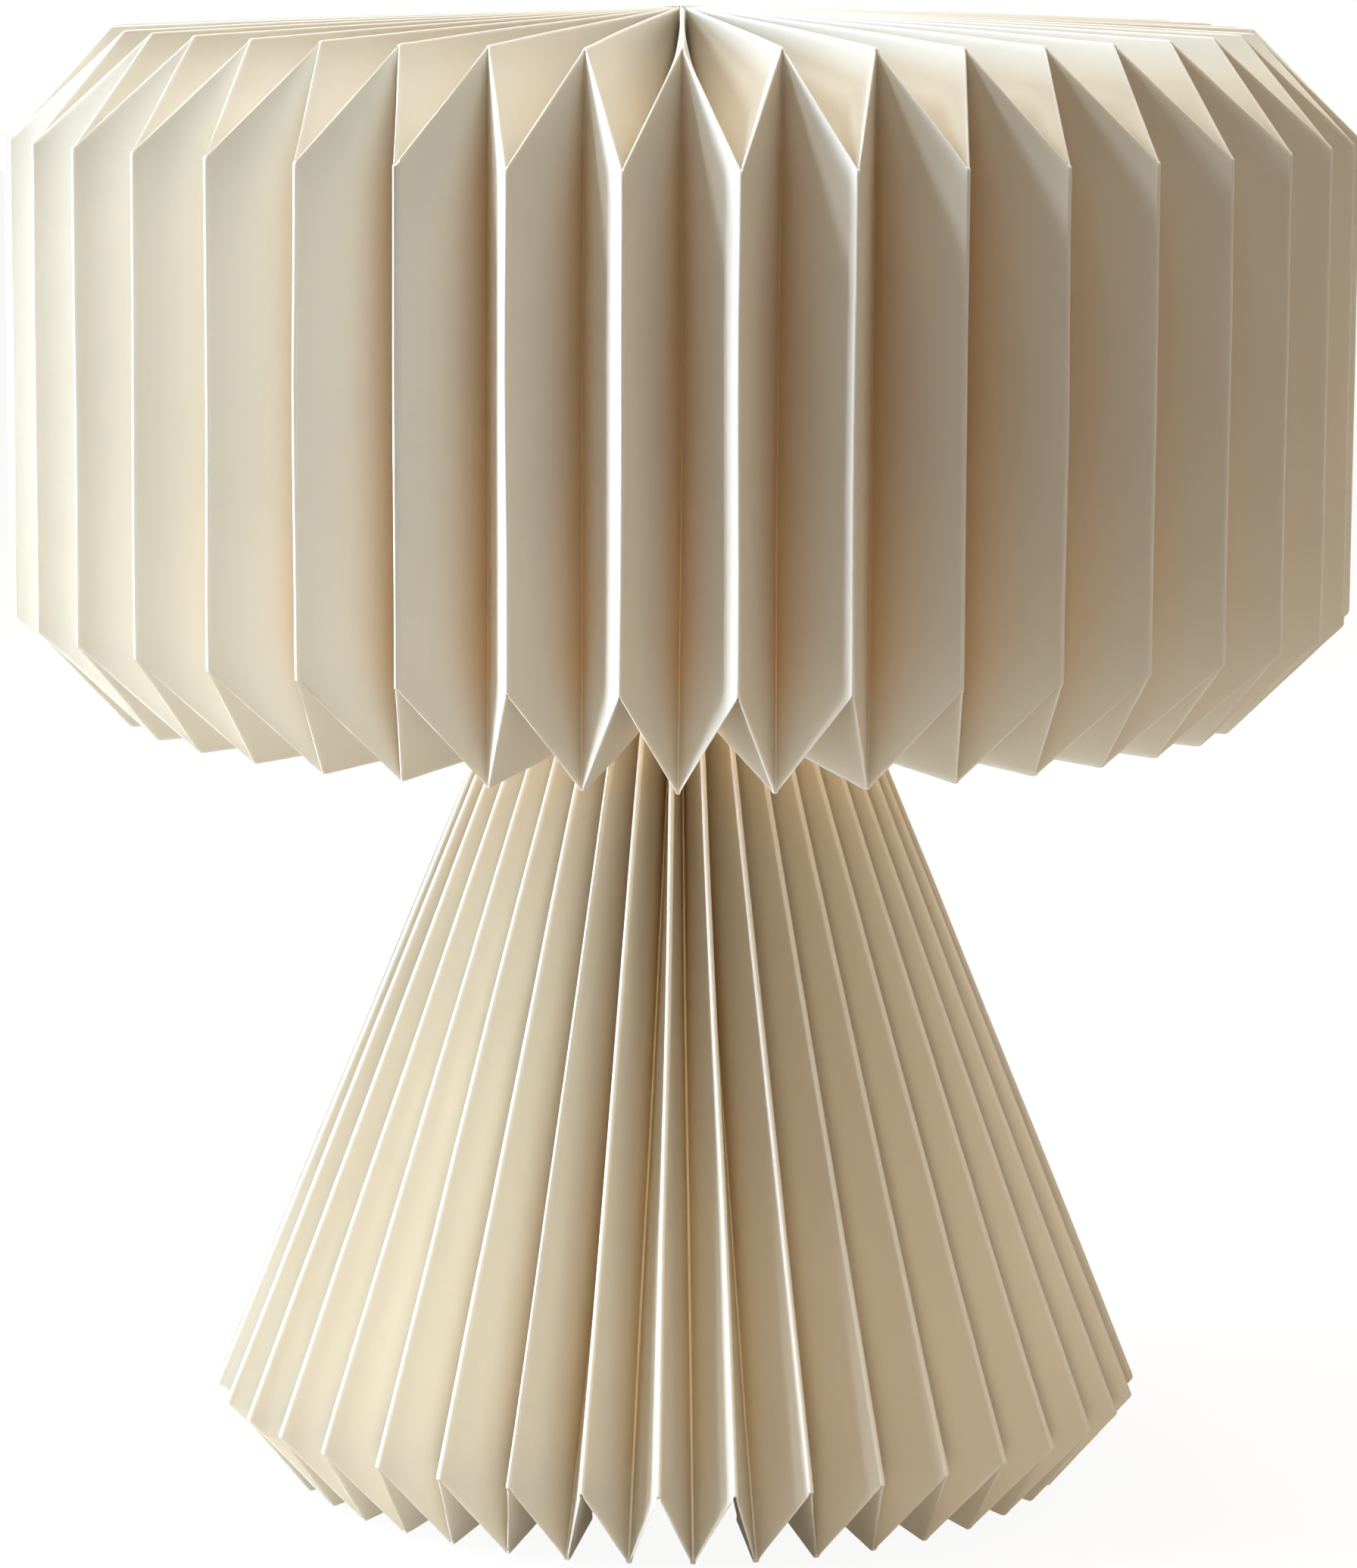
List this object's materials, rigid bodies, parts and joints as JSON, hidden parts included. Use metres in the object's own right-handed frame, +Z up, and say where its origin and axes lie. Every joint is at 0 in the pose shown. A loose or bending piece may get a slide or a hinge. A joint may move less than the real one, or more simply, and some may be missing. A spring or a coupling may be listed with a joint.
{
  "type": "pleated paper table lamp",
  "caption": "Table lamp with a drum shade of pleated paper that rests on a wire carrier round the bulb, above a cone of pleated paper round a steel stem on a weighted foot.",
  "frame": {"origin": "centre of the lamp's footprint on the table", "axes": "+Z up along the stem, -Y towards the side that the picture shows, +X to its right"},
  "size_m": [0.3498, 0.3498, 0.387],
  "materials": {
    "ivory_paper": "matt ivory wood-free paper",
    "card": "matt",
    "felt": "felt",
    "plate_steel": "satin powder coat",
    "zinc_steel": "zinc plated",
    "white_metal": "white powder coat",
    "white_wire": "white coated steel wire",
    "beech": "bare turned beech",
    "bush_plastic": "moulded nylon",
    "holder_plastic": "moulded, fine grain",
    "core_ceramic": "unglazed",
    "brass": "rolled sheet",
    "bulb_glass": "clear",
    "mount_glass": "clear",
    "cap_metal": "nickel-coloured, rolled thread",
    "black_glass": "black glass",
    "solder": "tinned",
    "filament": "yellow phosphor coat",
    "lead_wire": "drawn wire"
  },
  "bodies": {
    "stand": {"foot_pads": "felt", "foot_plate": "plate_steel", "foot_nut": "zinc_steel", "foot_washer": "zinc_steel", "stem_boss": "white_metal", "inlet_bush": "bush_plastic", "stem_rod": "zinc_steel", "stem_tube": "white_metal", "neck_plug": "beech", "neck_plate": "white_metal", "neck_nut": "zinc_steel", "sleeve_sheet_right": "ivory_paper", "sleeve_sheet_left": "ivory_paper", "foot_ring": "white_wire", "holder_cap": "holder_plastic", "holder_skirt": "holder_plastic", "holder_core": "core_ceramic", "holder_shell": "brass", "holder_contact": "brass", "holder_terminals": "brass", "clamp_ring": "holder_plastic", "shade_carrier": "white_wire"},
    "bulb": {"bulb_glass": "bulb_glass", "bulb_cap": "cap_metal", "bulb_insulator": "black_glass", "bulb_tip": "solder", "bulb_mount": "mount_glass", "bulb_filaments": "filament", "bulb_leads": "lead_wire"},
    "shade": {"shade_sheet_right": "ivory_paper", "shade_sheet_left": "ivory_paper", "mouth_ring": "white_wire", "crown_disc": "card"}
  },
  "joints": [
    {"name": "shade_lift", "type": "slide", "parent": "stand", "child": "shade", "axis": [0, 0, 1], "range_m": [0, 0.16]},
    {"name": "bulb_turn", "type": "hinge", "parent": "stand", "child": "bulb", "pos_m": [0, 0, 0.26], "axis": [0, 0, 1], "range_deg": [0, 1080]}
  ]
}
